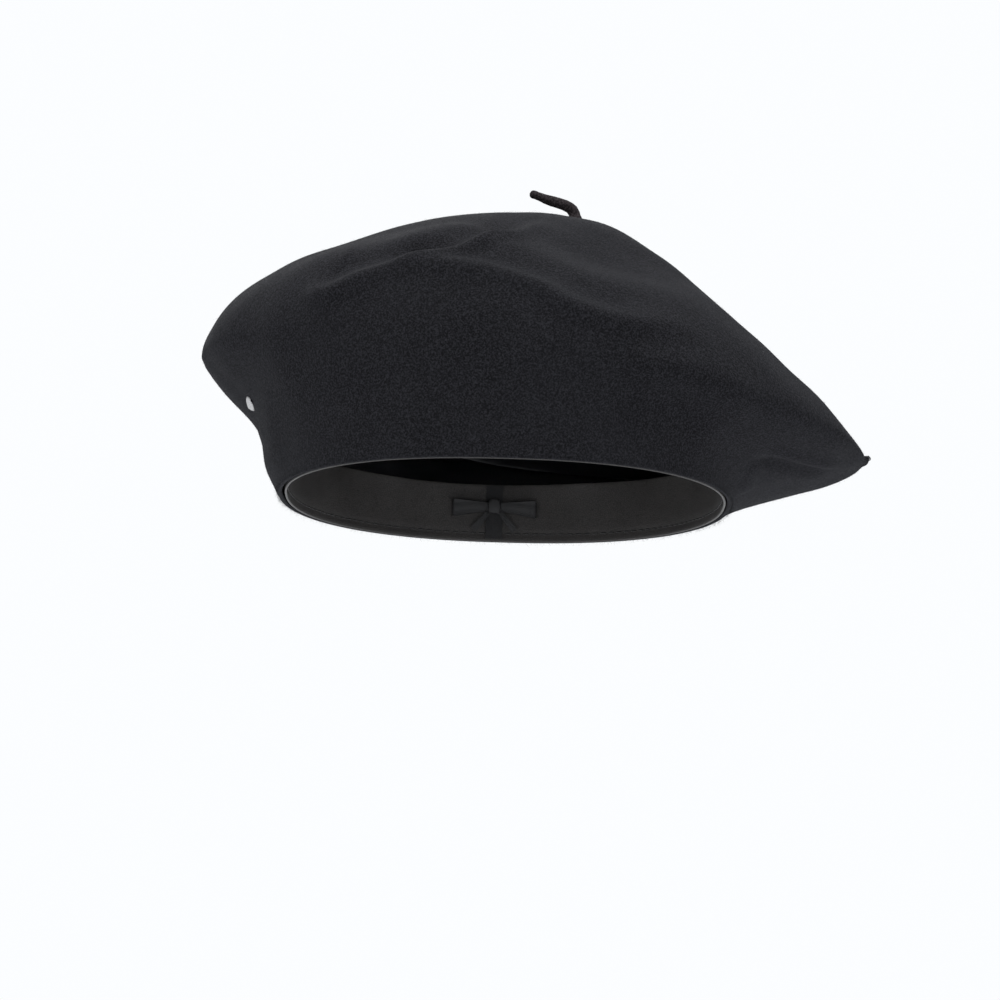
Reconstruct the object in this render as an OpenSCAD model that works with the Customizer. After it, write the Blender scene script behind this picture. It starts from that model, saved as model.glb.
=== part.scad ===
// A lined wool-felt beret, shaped as it sits on a head.
// Origin: centre of the head opening, on the plane of the hem. -Y is the front,
// +X is the wearer's left, +Z is up. Millimetres.

/* [Felt] */
// Thickness of the wool felt
felt_t = 2; // [1.6:0.2:2.6]
// Half width of the head opening, to the outside of the felt
open_half_w = 87; // [85:1:90]
// Half length of the head opening, to the outside of the felt
open_half_l = 100; // [98:1:102]
// Height of the crown's centre above the hem
crown_h = 118; // [112:1:124]
// How far the crown's centre sits from the opening's centre, to the wearer's left and to the back
crown_shift = [25, 25]; // [15:1:35]

/* [Disc] */
// Reach of the disc from the opening's centre at the front, left, back and right
reach_sides = [104, 139, 138, 119]; // [102:1:142]
// Reach at the front left, back left, back right and front right
reach_corners = [116, 142, 130, 107]; // [104:1:145]
// Height of the disc's edge at the front, left, back and right
edge_h_sides = [45, 21, 38, 55]; // [20:1:58]
// Height of the edge at the front left, back left, back right and front right
edge_h_corners = [32, 29, 54, 52]; // [24:1:58]

/* [Dip] */
// Depth of the dip in the top, over the wearer's left eye
dip_depth = 8; // [0:1:10]

/* [Stalk] */
// Diameter of the stalk
stalk_d = 4; // [3:0.2:4.4]
// Length of the stalk beyond its bend
stalk_len = 14; // [12:1:24]
// Rise of the stalk above the level, in degrees
stalk_rise = 16; // [12:1:40]

/* [Sweatband] */
// Height of the leather sweatband
band_h = 24; // [20:1:26]
// Thickness of the sweatband
band_t = 0.9; // [0.7:0.1:1.2]
// Number of stitches along the hem
stitches = 72; // [36:12:72]

/* [Lining] */
// Thickness of the satin lining
lining_t = 0.4; // [0.3:0.1:0.6]
// Gap between the felt and the lining
lining_gap = 2.2; // [2:0.1:2.6]

/* [Labels and bow] */
// Width, drop and thickness of the hanging care label
care_size = [20, 19, 0.5]; // [0.4:0.1:21]
// Width, depth and thickness of the crown label
crown_label_size = [52, 36, 0.6]; // [0.4:0.1:60]
// Width, height and thickness of the size label
size_label_size = [14, 12, 0.4]; // [0.4:0.1:20]
// Length, height and thickness of the embroidered side mark
mark_size = [14, 6, 0.8]; // [0.6:0.1:16]
// Width of the bow across both loops
bow_w = 34; // [26:1:40]

/* [Hidden] */

// The eight compass points run from the front, through the wearer's left, round to the front right.
function compass(sides, corners) = [for (i = [0:3]) each [sides[i], corners[i]]];
reach = compass(reach_sides, reach_corners);
edge_h = compass(edge_h_sides, edge_h_corners);
wall_rise = compass([30, 8, 14, 22], [20, 8, 20, 26]);
wall_lean = compass([1, 2, 5, 5], [1, 4, 6, 3]);
edge_under = compass([14, 6, 8, 10], [9, 8, 8, 14]);
edge_tuck = compass([0, 0, 0, 7], [0, 0, 4, 2]);
edge_over = compass([44, 4, 14, 22], [30, 4, 24, 40]);
crown_spread = compass([60, 30, 40, 80], [50, 30, 75, 70]);
crown_fall = compass([0.14, 0.6, 0.1, 0.03], [0.2, 0.6, 0.03, 0.1]); // slope at the crown's centre
// The row where the lining starts, and how far it stops short of the disc's edge.
lining_from = compass([0.5, 0.2, 0.25, 0.25], [0.36, 0.2, 0.25, 0.4]);
lining_stop = compass([0.05, 0.26, 0.14, 0.05], [0.14, 0.26, 0.05, 0.05]);

crown = [crown_shift[0], crown_shift[1], crown_h];
crown_hole_r = 2.4;  // the hole that the stalk's root passes through
open_power = 2.25;  // above 2, the opening is a little squarer than an ellipse
around = 72;        // divisions round the beret
lower_rows = 9;     // divisions from the hem to the disc's edge
upper_rows = 15;    // divisions from the disc's edge to the crown
gap = 0.3;          // clearance between pieces that touch
thread_d = 0.5;

// A periodic Catmull-Rom curve through the eight compass values.
function at(table, a) =
    let (s = a / 45, i = floor(s), f = s - i,
         p = [for (k = [-1:2]) table[(i + k + 16) % 8]])
    0.5 * (2 * p[1] + (p[2] - p[0]) * f + (2 * p[0] - 5 * p[1] + 4 * p[2] - p[3]) * pow(f, 2)
        + (3 * p[1] - p[0] - 3 * p[2] + p[3]) * pow(f, 3));

function bezier(p, t) =
    pow(1 - t, 3) * p[0] + 3 * t * pow(1 - t, 2) * p[1] + 3 * t * t * (1 - t) * p[2] + pow(t, 3) * p[3];

function unit(v) = v / norm(v);
function heading(a) = [sin(a), -cos(a), 0];

// Distance from the origin to the felt's outside at the hem.
function hem_r(a) =
    pow(pow(abs(sin(a)) / open_half_w, open_power) + pow(abs(cos(a)) / open_half_l, open_power),
        -1 / open_power);

// How far the dip lowers a point: a bell about the dip's centre.
dip_centre = [34, -62, 88];
dip_half = [36, 26, 22];
function dip(p) =
    let (q = [for (k = [0:2]) (p[k] - dip_centre[k]) / dip_half[k]]) dip_depth * exp(-q * q);

// A point on the felt's outside before the dip: t runs from 0 at the hem, through 1 at the disc's edge,
// to 2 at the crown.
function undipped(a, t) =
    let (h = hem_r(a) * heading(a),
         edge = at(reach, a) * heading(a) + [0, 0, at(edge_h, a)],
         away = unit([edge[0] - crown[0], edge[1] - crown[1], 0]) - [0, 0, at(crown_fall, a)],
         top = crown + crown_hole_r * away)
    t <= 1
        ? bezier([h, h + at(wall_lean, a) * heading(a) + [0, 0, at(wall_rise, a)],
                  edge - at(edge_tuck, a) * heading(a) - [0, 0, at(edge_under, a)], edge], t)
        : bezier([edge, edge + [0, 0, at(edge_over, a)], top + at(crown_spread, a) * away, top], t - 1);

function outside(a, t) = let (p = undipped(a, t)) p - [0, 0, dip(p)];

// The outward normal there, from two short steps along the surface.
function normal(a, t) =
    let (d = 0.01, t0 = max(t - d, 0), t1 = min(t + d, 2))
    unit(cross(outside(a + d, t) - outside(a - d, t), outside(a, t1) - outside(a, t0)));

// A point at a depth below the outside; the hem's lower edge is cut level.
function inside(a, t, depth) =
    let (p = outside(a, t) - depth * normal(a, t)) [p[0], p[1], t == 0 ? 0 : p[2]];

felt_rows = [for (i = [0:lower_rows]) i / lower_rows, for (i = [1:upper_rows]) 1 + i / upper_rows];

// A closed ring of cloth between two depths. Each row is a number plus a share of lining_from
// and of lining_stop.
module cloth(rows, depth, thickness) {
    n = len(rows);
    skin = [for (d = [depth, depth + thickness]) for (r = rows) for (j = [0:around - 1])
        let (a = j * 360 / around)
            inside(a, r[0] + r[1] * at(lining_from, a) + r[2] * at(lining_stop, a), d)];
    function id(layer, i, j) = (layer * n + i) * around + j % around;
    faces = [
        for (i = [0:n - 2]) for (j = [0:around - 1]) each [
            [id(0, i, j), id(0, i + 1, j), id(0, i + 1, j + 1)],
            [id(0, i, j), id(0, i + 1, j + 1), id(0, i, j + 1)],
            [id(1, i, j), id(1, i + 1, j + 1), id(1, i + 1, j)],
            [id(1, i, j), id(1, i, j + 1), id(1, i + 1, j + 1)]],
        for (j = [0:around - 1]) each [
            [id(0, 0, j), id(0, 0, j + 1), id(1, 0, j + 1)],
            [id(0, 0, j), id(1, 0, j + 1), id(1, 0, j)],
            [id(0, n - 1, j), id(1, n - 1, j + 1), id(0, n - 1, j + 1)],
            [id(0, n - 1, j), id(1, n - 1, j), id(1, n - 1, j + 1)]]];
    polyhedron(points = skin, faces = faces, convexity = 6);
}

// The one-piece felt shell, open at the hem and pierced at the crown. Its small creases aren't modelled.
module felt_shell() {
    color([0.12, 0.12, 0.14]) cloth([for (t = felt_rows) [t, 0, 0]], 0, felt_t);
}

// Centre of the stalk's pivot, just clear of the felt.
stalk_pivot = crown + [0, 0, stalk_d / 2 + 2 * gap];
stalk_bend_r = 3;
root_d = 0.6 * stalk_d;
knot_top = felt_t + 1.8; // depth of the knot's top below the crown's centre
knot_h = 0.5;
knot_d = 0.95 * stalk_d;

// The stalk's shank, which passes through the crown.
module stalk_root() {
    color([0.14, 0.12, 0.12])
    translate(crown - [0, 0, knot_top]) cylinder(d = root_d, h = knot_top + gap, $fn = 48);
}

// The stop that keeps the shank from pulling out, inside the crown.
module stalk_knot() {
    color([0.14, 0.12, 0.12])
    translate(crown - [0, 0, knot_top + knot_h]) cylinder(d = knot_d, h = knot_h, $fn = 48);
}

// The free stalk: a round foot, a short elbow and a limb with a round tip, bent to the wearer's right.
module stalk() {
    turn = 90 - stalk_rise;
    limb_r = stalk_d / 2 - 0.05;
    end = [stalk_bend_r * (cos(turn) - 1), 0, stalk_bend_r * sin(turn)];
    color([0.14, 0.12, 0.12]) translate(stalk_pivot) {
        sphere(d = stalk_d + 0.2, $fn = 48);
        translate([-stalk_bend_r, 0, 0]) rotate([90, 0, 0])
            rotate_extrude(angle = turn, $fn = 96) translate([stalk_bend_r, 0]) circle(d = stalk_d, $fn = 48);
        translate(end) rotate([0, -turn, 0]) rotate_extrude($fn = 48) polygon([
            [0, -0.5], [limb_r, -0.5],
            for (a = [0:10:90]) [limb_r * cos(a), stalk_len + limb_r * sin(a)]]);
    }
}

// Outline of the opening at a distance inside the felt's outer face.
function opening(inset) =
    [for (j = [0:stitches - 1]) (hem_r(j * 360 / stitches) - inset) * heading(j * 360 / stitches)];
function flat(points) = [for (p = points) [p[0], p[1]]];
band_out = felt_t + 0.4;
band_in = band_out + band_t;

// The leather sweatband, upright inside the hem.
module sweatband() {
    color([0.2, 0.19, 0.19]) linear_extrude(band_h) difference() {
        polygon(flat(opening(band_out)));
        polygon(flat(opening(band_in)));
    }
}

// Puts its children against the sweatband's inner face on one flat of its outline, with X along
// the flat, Y towards the middle of the opening and Z up.
module on_band(index) {
    ring = opening(band_in);
    a = ring[index];
    b = ring[(index + 1) % stitches];
    mid = (a + b) / 2;
    along = b - a;
    translate(mid) rotate([0, 0, atan2(along[1], along[0])]) children();
}

// The tape over the sweatband's join, at the back.
module sweatband_join() {
    color([0.16, 0.15, 0.15]) on_band(floor(stitches / 2))
        translate([-3.4, gap / 3, 1]) cube([6.8, 0.7, band_h - 2]);
}

// The ribbon bow's two loops, standing off the join tape.
module bow_ribbon() {
    color([0.1, 0.1, 0.11]) on_band(floor(stitches / 2))
        for (side = [-1, 1]) translate([side * bow_w / 4, 2.2, 14]) rotate([90, 0, 0])
            linear_extrude(1, center = true) polygon([
                [-side * (bow_w / 4 - 3), -1.5], [side * bow_w / 4, -5],
                [side * bow_w / 4, 5], [-side * (bow_w / 4 - 3), 1.5]]);
}

// The bow's knot.
module bow_knot() {
    color([0.1, 0.1, 0.11]) on_band(floor(stitches / 2))
        translate([-2.7, 1.1, 11.5]) cube([5.4, 2.2, 5]);
}

// One thread per flat of the sweatband, a little above the hem.
module hem_stitches() {
    color([0.1, 0.1, 0.1]) for (i = [0:stitches - 1])
        if (i != floor(stitches / 2)) on_band(i)
            translate([-2, 0, 3]) cube([4, thread_d, thread_d]);
}

lining_depth = felt_t + lining_gap;

// The lining's side, from behind the sweatband out to just below the disc's edge.
module lining_side() {
    color([0.1, 0.1, 0.12]) cloth([for (s = [0:1/6:1]) [s, 1 - s, -s]], lining_depth, lining_t);
}

// The lining's tip, under the crown.
module lining_tip() {
    color([0.1, 0.1, 0.12])
    cloth([for (s = [0:1/12:1]) [1 + s, 0, 1 - s]], lining_depth, lining_t);
}

// The blank label under the crown, level, just below the lining.
label_place = [-12, 8, crown_h - 21];
module crown_label() {
    color([0.75, 0.74, 0.7]) translate(label_place)
        cube(crown_label_size, center = true);
}

// Two rows of stitches along the crown label's long edges, on its lower face.
module crown_label_stitches() {
    rows = 10;
    pitch = (crown_label_size[0] - 4) / rows;
    color([0.6, 0.6, 0.58]) translate(label_place - [0, 0, crown_label_size[2] / 2 + thread_d / 2])
        for (i = [0:rows - 1]) for (side = [-1, 1])
            translate([(i - (rows - 1) / 2) * pitch, side * (crown_label_size[1] / 2 - 1.5), 0])
                cube([pitch * 0.6, thread_d, thread_d], center = true);
}

// The care label, hanging from its sewn top edge over the sweatband.
care_at = 11;
module care_label() {
    color([0.85, 0.85, 0.83]) on_band(care_at)
        translate([-care_size[0] / 2, gap + 0.4, band_h - 1 - care_size[1]])
            cube([care_size[0], care_size[2], care_size[1]]);
}

// The size tab and the threads across its two ends.
size_at = 64;
module size_label() {
    color([0.85, 0.85, 0.83]) on_band(size_at)
        translate([-size_label_size[0] / 2, 2 * gap, 9])
            cube([size_label_size[0], size_label_size[2], size_label_size[1]]);
}
module size_label_stitches() {
    color([0.6, 0.6, 0.58]) on_band(size_at)
        for (side = [-1, 1]) for (i = [0:2])
            translate([side * (size_label_size[0] / 2 - 1.2) - thread_d / 2,
                       2 * gap + size_label_size[2], 10 + 3.6 * i])
                cube([thread_d, thread_d, 2.4]);
}

// The small embroidered oval on the wearer's right, lying on the felt.
mark_heading = 272;
mark_row = 0.52;
module side_mark() {
    n = normal(mark_heading, mark_row);
    color([0.72, 0.72, 0.72])
    translate(outside(mark_heading, mark_row) + 0.7 * n)
        rotate([0, acos(n[2]), atan2(n[1], n[0])]) linear_extrude(mark_size[2], center = true)
            polygon([for (i = [0:35]) [mark_size[1] / 2 * cos(i * 10), mark_size[0] / 2 * sin(i * 10)]]);
}

felt_shell();
stalk_root();
stalk();
stalk_knot();
sweatband();
sweatband_join();
bow_ribbon();
bow_knot();
hem_stitches();
lining_side();
lining_tip();
crown_label();
crown_label_stitches();
care_label();
size_label();
size_label_stitches();
side_mark();
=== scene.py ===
"""A lined wool-felt beret, shaped as it sits on a head: felt body, stalk, sweatband, lining, labels and
bow."""

import bpy
import numpy as np
from bpy.props import FloatProperty, FloatVectorProperty, IntProperty, PointerProperty
from mathutils import Matrix


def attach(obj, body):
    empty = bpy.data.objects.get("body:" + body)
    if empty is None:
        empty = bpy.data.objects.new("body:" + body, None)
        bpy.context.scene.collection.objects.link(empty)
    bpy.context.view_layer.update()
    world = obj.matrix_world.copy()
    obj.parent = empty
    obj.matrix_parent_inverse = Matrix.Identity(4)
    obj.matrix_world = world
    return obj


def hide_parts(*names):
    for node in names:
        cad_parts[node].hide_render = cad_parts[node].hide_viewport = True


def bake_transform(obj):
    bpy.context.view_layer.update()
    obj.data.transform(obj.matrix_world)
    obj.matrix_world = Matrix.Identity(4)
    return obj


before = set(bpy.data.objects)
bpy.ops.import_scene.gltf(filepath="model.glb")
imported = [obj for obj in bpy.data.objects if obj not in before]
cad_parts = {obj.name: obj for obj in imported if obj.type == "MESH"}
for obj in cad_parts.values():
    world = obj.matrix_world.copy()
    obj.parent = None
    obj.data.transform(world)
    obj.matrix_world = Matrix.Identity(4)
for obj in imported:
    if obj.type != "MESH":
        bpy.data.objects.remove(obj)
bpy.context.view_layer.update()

bl_info = {
    "name": "Wool-felt beret",
    "version": (1, 0, 0),
    "blender": (4, 5, 0),
    "location": "View3D > Sidebar > Beret",
    "description": "Builds a lined felt beret, piece by piece, around its packed frame",
    "category": "Add Mesh",
}

MM = 0.001
TURN = 2 * np.pi
HAT, STALK, CARE = "hat", "stalk", "care_label"

# ---------------------------------------------------------------- the felt's shape, in millimetres
# The compass runs from the front, through the wearer's left, round to the front right, in eight steps.
REACH = (104, 116, 139, 142, 138, 130, 119, 107)
EDGE_HEIGHT = (45, 32, 21, 29, 38, 54, 55, 52)
WALL_RISE = (30, 20, 8, 8, 14, 20, 22, 26)
WALL_LEAN = (1, 1, 2, 4, 5, 6, 5, 3)
EDGE_UNDER = (14, 9, 6, 8, 8, 8, 10, 14)
EDGE_TUCK = (0, 0, 0, 0, 0, 4, 7, 2)
EDGE_OVER = (44, 30, 4, 4, 14, 24, 22, 40)
CROWN_SPREAD = (60, 50, 30, 30, 40, 75, 80, 70)
CROWN_FALL = (0.14, 0.2, 0.6, 0.6, 0.1, 0.03, 0.03, 0.1)
LINING_FROM = (0.5, 0.36, 0.2, 0.2, 0.25, 0.25, 0.25, 0.4)
OPEN_HALF_W, OPEN_HALF_L, OPEN_POWER = 87.0, 100.0, 2.25
CROWN = np.array((25.0, 25.0, 118.0))
CROWN_HOLE_R = 2.4
DIP_DEPTH, DIP_CENTRE, DIP_HALF = 8.0, (34, -62, 88), (36, 26, 22)
FELT_T = 2.0
HEM_ROLL = 0.9
BAND_OUT, BAND_T = FELT_T + 0.4, 0.9
UP = np.array((0.0, 0.0, 1.0))


def along_compass(values, heading):
    """A periodic Catmull-Rom curve through the eight compass values, at headings in radians."""
    v = np.asarray(values, float)
    s = (heading / TURN * 8) % 8
    i = np.floor(s).astype(int)
    f = s - i
    a, b, c, d = (v[(i + k) % 8] for k in (-1, 0, 1, 2))
    return 0.5 * (2 * b + (c - a) * f + (2 * a - 5 * b + 4 * c - d) * f**2 + (3 * b - a - 3 * c + d) * f**3)


def bezier(p, t):
    """The cubic Bezier curve of four points, at t."""
    return (1 - t) ** 3 * p[0] + 3 * t * (1 - t) ** 2 * p[1] + 3 * t * t * (1 - t) * p[2] + t**3 * p[3]


def pointing(heading):
    """Unit vectors, level, at headings in radians from the front (-Y) towards the wearer's left (+X)."""
    return np.stack([np.sin(heading), -np.cos(heading), np.zeros_like(heading)], -1)


def hem_reach(heading):
    """Distance from the opening's centre to the felt's outside: a superellipse in polar form."""
    s, c = np.abs(np.sin(heading)), np.abs(np.cos(heading))
    return ((s / OPEN_HALF_W) ** OPEN_POWER + (c / OPEN_HALF_L) ** OPEN_POWER) ** (-1 / OPEN_POWER)


def plain_outside(heading, t):
    """The CAD's outer surface: t runs 0 to 1 up a Bezier from the hem to the disc's edge, and 1 to 2 up
    another from the edge over to the crown, each with its end tangents read off the compass. A bell-shaped
    dip over the wearer's left eye lowers it."""
    e = pointing(heading)
    g = lambda table: along_compass(table, heading)[..., None]
    hem = hem_reach(heading)[..., None] * e
    edge = g(REACH) * e + g(EDGE_HEIGHT) * UP
    away = (edge - CROWN) * (1, 1, 0)
    away = away / np.linalg.norm(away, axis=-1, keepdims=True) - g(CROWN_FALL) * UP
    top = CROWN + CROWN_HOLE_R * away
    low, high = np.clip(t, 0, 1)[..., None], np.clip(t - 1, 0, 1)[..., None]
    wall = bezier([hem, hem + g(WALL_LEAN) * e + g(WALL_RISE) * UP,
                   edge - g(EDGE_TUCK) * e - g(EDGE_UNDER) * UP, edge], low)
    disc = bezier([edge, edge + g(EDGE_OVER) * UP, top + g(CROWN_SPREAD) * away, top], high)
    p = np.where((t <= 1)[..., None], wall, disc)
    dip = DIP_DEPTH * np.exp(-(((p - DIP_CENTRE) / DIP_HALF) ** 2).sum(-1))
    return p - dip[..., None] * UP


def unit(n):
    """The vectors at unit length."""
    return n / np.maximum(np.linalg.norm(n, axis=-1, keepdims=True), 1e-9)


def run_of(path):
    """Length run along a path at each of its points."""
    return np.concatenate([[0], np.cumsum(np.linalg.norm(np.diff(path, axis=0), axis=1))])


def grid_normals(p):
    """Outward unit normals of a grid of points: rows run up the felt, columns run round it and close."""
    round_it = np.roll(p, -1, 1) - np.roll(p, 1, 1)
    up_it = np.empty_like(p)
    up_it[1:-1] = p[2:] - p[:-2]
    up_it[0], up_it[-1] = p[1] - p[0], p[-1] - p[-2]
    n = np.cross(round_it, up_it)
    return unit(n)


def smooth_path(points, steps=12):
    """A Catmull-Rom curve through a list of points, sampled evenly between each two."""
    p = np.asarray(points, float)
    p = np.concatenate([2 * p[:1] - p[1:2], p, 2 * p[-1:] - p[-2:-1]])
    f = np.linspace(0, 1, steps, endpoint=False)[None, :, None]
    a, b, c, d = (p[k:len(p) - 3 + k, None] for k in range(4))
    q = 0.5 * (2 * b + (c - a) * f + (2 * a - 5 * b + 4 * c - d) * f**2 + (3 * b - a - 3 * c + d) * f**3)
    return np.concatenate([q.reshape(-1, p.shape[1]), p[-2:-1]])


def fade(s, ends):
    """1 in the middle of a path and 0 at its ends, by a half cosine over the share `ends` at each end."""
    near = np.clip(np.minimum(s / max(ends[0], 1e-6), (1 - s) / max(ends[1], 1e-6)), 0, 1)
    return 0.5 - 0.5 * np.cos(np.pi * near)


# Each fold is a path over the felt in millimetres, its height (a ridge is positive), half width, the dip
# beside it, that dip's distance and half width, and how much of each end fades out. The dip lies on the
# left of the path.
FOLDS = (
    # the front edge of the disc, pulled up over the forehead
    {"path": ((-78, -68, 68), (-68, -79, 63), (-54, -84, 69), (-36, -89, 72), (-16, -94, 70), (0, -97, 67),
              (11, -99, 63), (21, -101, 57), (37, -99, 52), (56, -91, 52), (76, -78, 52)),
     "height": 3.0, "width": 5.0, "dip": 2.0, "dip_at": 12, "dip_width": 8, "ends": (0.1, 0.3)},
    # the ridge that runs back from it to the stalk
    {"path": ((-48, -85, 72), (-34, -87, 76), (-19, -86, 80), (-8, -77, 87), (3, -64, 94), (14, -30, 108)),
     "height": 3.0, "width": 4.0, "dip": 3.0, "dip_at": 10, "dip_width": 7, "ends": (0.15, 0.4)},
    # the soft valley low on the wearer's left, and the ridge above it
    {"path": ((30, -100, 28), (48, -94, 24), (63, -86, 22), (74, -69, 14)),
     "height": -3.0, "width": 9.0, "ends": (0.3, 0.3)},
    {"path": ((35, -101, 37), (62, -93, 36), (81, -82, 32), (97, -67, 25)),
     "height": 2.0, "width": 7.0, "ends": (0.3, 0.3)},
    # the creases of the drooping edge
    {"path": ((95, -50, 15), (106, -38, 14), (121, -19, 14), (130, -5, 15)),
     "height": 2.0, "width": 3.5, "dip": 2.5, "dip_at": -7, "dip_width": 4, "ends": (0.3, 0.3)},
    {"path": ((91, -10, 4), (93, -28, 8), (95, -42, 12)),
     "height": 1.5, "width": 3.5, "ends": (0.3, 0.3)},
)
# Each dish is a place on the felt, its three half widths and its depth.
DISHES = (
    ((-50, -48, 96), (26, 18, 16), 3.0),
    ((-103, -36, 40), (12, 26, 12), 2.0),
    ((-103, 0, 32), (12, 60, 11), 4.0),
    ((-90, -12, 11), (12, 42, 9), -2.2),
    ((54, 20, 104), (18, 34, 14), 1.6),
)


def lift_of_dish(p, dish):
    """A bell-shaped hollow: minus the depth times exp of minus the scaled distance squared."""
    centre, half, depth = dish
    return -depth * np.exp(-((((p - centre) / half) ** 2).sum(-1)))


def lift_of_fold(p, n, fold):
    """Height of one fold at each point: a bell across the path, and a second bell of the dip beside it."""
    path = smooth_path(fold["path"])
    seg = np.diff(path, axis=0)
    run = run_of(path)
    flat = p.reshape(-1, 3)
    reach = 3 * max(fold["width"], fold.get("dip_width", 0)) + abs(fold.get("dip_at", 0))
    close = np.all((flat > path.min(0) - reach) & (flat < path.max(0) + reach), axis=1)
    out = np.zeros(len(flat))
    q, qn = flat[close], n.reshape(-1, 3)[close]
    if not len(q):
        return out.reshape(p.shape[:-1])
    d2 = ((q[:, None] - path[None]) ** 2).sum(-1)
    k = d2.argmin(1)
    kk = np.clip(k, 0, len(seg) - 1)
    way = seg[kk] / np.linalg.norm(seg[kk], axis=1, keepdims=True)
    off = q - path[k]
    along = (off * way).sum(1)
    across = off - along[:, None] * way
    side = np.sign((np.cross(qn, way) * across).sum(1))
    dist = np.linalg.norm(across, axis=1) * side
    s = (run[k] + along) / run[-1]
    out_of = np.maximum(np.abs(np.minimum(s, 0)), np.maximum(s - 1, 0)) * run[-1]
    s = np.clip(s, 0, 1)
    h = fold["height"] * np.exp(-((dist / fold["width"]) ** 2))
    if fold.get("dip"):
        h -= fold["dip"] * np.exp(-(((dist - fold["dip_at"]) / fold["dip_width"]) ** 2))
    out[close] = h * fade(s, fold["ends"]) * np.exp(-((out_of / fold["width"]) ** 2))
    return out.reshape(p.shape[:-1])


def waviness(p, size, seed, waves=7):
    """A smooth random field, about -1 to 1: a sum of sines along random directions with random phases."""
    rng = np.random.default_rng(seed)
    k = rng.normal(size=(waves, 3))
    k *= TURN / size * rng.uniform(0.7, 1.4, (waves, 1)) / np.linalg.norm(k, axis=1, keepdims=True)
    return np.sin(p @ k.T + rng.uniform(0, TURN, waves)).sum(-1) / waves**0.5 / 1.2


def surface_lift(p, n):
    """Height of the folds, the dishes and a soft waviness that dies away at the hem and at the crown's
    hole."""
    lift = sum((lift_of_fold(p, n, fold) for fold in FOLDS), np.zeros(p.shape[:-1]))
    lift = sum((lift_of_dish(p, dish) for dish in DISHES), lift)
    quiet = np.clip(p[..., 2] / 14, 0, 1) * np.clip(np.linalg.norm(p - CROWN, axis=-1) / 25, 0, 1)
    return lift + quiet * (0.8 * waviness(p, 70, 3) + 0.35 * waviness(p, 30, 4))


def felt_grid(heading, t):
    """The finished felt's outer surface on a grid, and its normals."""
    hh, tt = np.meshgrid(heading, t)
    p = plain_outside(hh, tt)
    n = grid_normals(p)
    p = p + surface_lift(p, n)[..., None] * n
    return p, grid_normals(p)


def felt_at(heading, t, step=0.004):
    """The finished felt's outer points and normals at any headings and rows, by steps along the surface."""

    def lifted(h, s):
        p = plain_outside(h, s)
        n = np.cross(plain_outside(h + step, s) - plain_outside(h - step, s),
                     plain_outside(h, s + step) - plain_outside(h, s - step))
        n /= np.linalg.norm(n, axis=-1, keepdims=True)
        return p + surface_lift(p, n)[..., None] * n

    p = lifted(heading, t)
    n = np.cross(lifted(heading + step, t) - lifted(heading - step, t),
                 lifted(heading, t + step) - lifted(heading, t - step))
    return p, n / np.linalg.norm(n, axis=-1, keepdims=True)


# ---------------------------------------------------------------- mesh and material helpers
def add_object(name, verts, faces, smooth=True, uv=None, sharp=None):
    """One mesh object at the origin, from points in millimetres and one or more arrays of faces. The UV map
    is given per point, and `sharp` is the angle in degrees past which an edge stays crisp."""
    mesh = bpy.data.meshes.new(name)
    verts = np.asarray(verts, float).reshape(-1, 3) * MM
    groups = [np.asarray(f, int) for f in (faces if isinstance(faces, list) else [faces])]
    corners = np.concatenate([f.ravel() for f in groups])
    widths = np.concatenate([np.full(len(f), f.shape[1]) for f in groups])
    mesh.vertices.add(len(verts))
    mesh.vertices.foreach_set("co", verts.ravel())
    mesh.loops.add(len(corners))
    mesh.loops.foreach_set("vertex_index", corners)
    mesh.polygons.add(len(widths))
    mesh.polygons.foreach_set("loop_start", np.concatenate([[0], np.cumsum(widths)[:-1]]))
    mesh.update(calc_edges=True)
    mesh.polygons.foreach_set("use_smooth", np.full(len(widths), smooth))
    if uv is not None:
        layer = mesh.uv_layers.new(name="Weave")
        layer.data.foreach_set("uv", np.asarray(uv, np.float32).reshape(-1, 2)[corners].ravel())
    mesh.validate()
    if sharp:
        mesh.set_sharp_from_angle(angle=np.radians(sharp))
    obj = bpy.data.objects.new(name, mesh)
    bpy.context.scene.collection.objects.link(obj)
    return obj


def sheet_solid(p, n, thickness, close_columns=False):
    """Points and faces of a sheet of cloth with a thickness: the grid moved half the thickness each way along
    its normals, and a strip of quads round every free edge."""
    rows, cols = p.shape[:2]
    count = rows * cols
    verts = np.concatenate([(p + n * thickness / 2).reshape(-1, 3), (p - n * thickness / 2).reshape(-1, 3)])
    top = grid_faces(rows, cols, False, close_columns)
    j = np.arange(cols if close_columns else cols - 1)
    k = (j + 1) % cols
    last = (rows - 1) * cols
    faces = [top, top[:, ::-1] + count, np.stack([k, j, j + count, k + count], 1),
             np.stack([last + j, last + k, last + k + count, last + j + count], 1)]
    if not close_columns:
        a, b = np.arange(rows - 1) * cols, np.arange(1, rows) * cols
        faces.append(np.stack([a, b, b + count, a + count], 1))
        a, b = a + cols - 1, b + cols - 1
        faces.append(np.stack([b, a, a + count, b + count], 1))
    return verts, np.concatenate(faces)


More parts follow.
